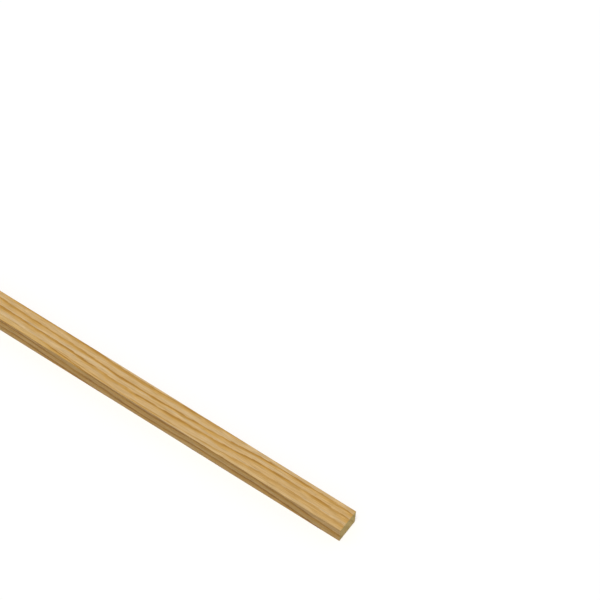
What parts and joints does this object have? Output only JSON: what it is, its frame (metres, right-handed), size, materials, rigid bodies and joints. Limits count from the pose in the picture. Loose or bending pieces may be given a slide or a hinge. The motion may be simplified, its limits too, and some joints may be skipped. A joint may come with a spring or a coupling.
{
  "type": "cover strip",
  "caption": "Plain rectangular planed pine cover strip with eased long edges and square-sawn ends, fixed over a joint or gap between boards.",
  "frame": {"origin": "middle of the back face, which lies on the floor", "axes": "+X along the grain, +Y across the width, +Z from the back face out to the show face"},
  "size_m": [1, 0.02, 0.015],
  "materials": {
    "planed_pine": "planed, untreated"
  },
  "bodies": {
    "root": {"cover_strip": "planed_pine"}
  },
  "joints": []
}
